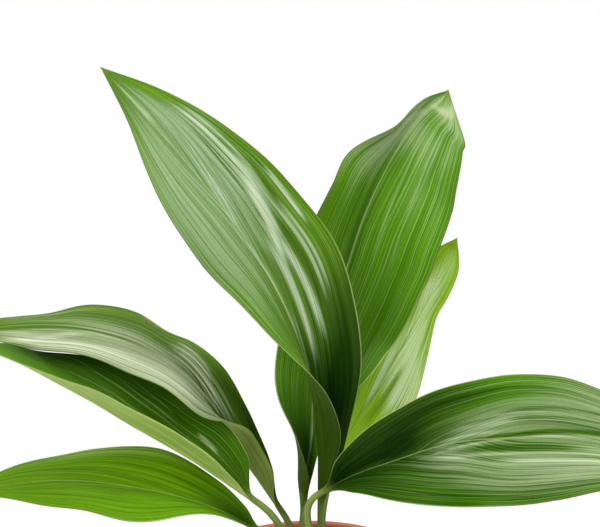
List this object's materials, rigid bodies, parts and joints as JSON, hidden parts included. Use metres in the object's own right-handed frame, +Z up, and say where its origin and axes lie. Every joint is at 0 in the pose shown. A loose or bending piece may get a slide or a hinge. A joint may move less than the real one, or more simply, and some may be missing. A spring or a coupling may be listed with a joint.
{
  "type": "potted cast iron plant",
  "caption": "Cast iron plant with long arching ribbed leaves on upright stalks, rising from a creeping rootstock in a plain tapered clay pot of soil.",
  "frame": {"origin": "centre of the pot's flat underside", "axes": "+Z up along the pot's axis; -Y towards the viewer of the plant's front; +X to the viewer's right, the way the broad leaf leans"},
  "size_m": [0.5831, 0.3202, 0.5798],
  "materials": {
    "pot": "matte",
    "soil": "matte",
    "rhizome": "matte",
    "leaf_tall_left": "satin",
    "leaf_broad_right": "satin",
    "leaf_young": "satin",
    "leaf_arching_right": "satin",
    "leaf_arching_left": "satin",
    "leaf_folded_left": "satin",
    "leaf_low_left": "satin"
  },
  "bodies": {
    "root": {"pot": "pot", "soil": "soil", "rhizome": "rhizome", "leaf_tall_left": "leaf_tall_left", "leaf_broad_right": "leaf_broad_right", "leaf_young": "leaf_young", "leaf_arching_right": "leaf_arching_right", "leaf_arching_left": "leaf_arching_left", "leaf_folded_left": "leaf_folded_left", "leaf_low_left": "leaf_low_left"}
  },
  "joints": []
}
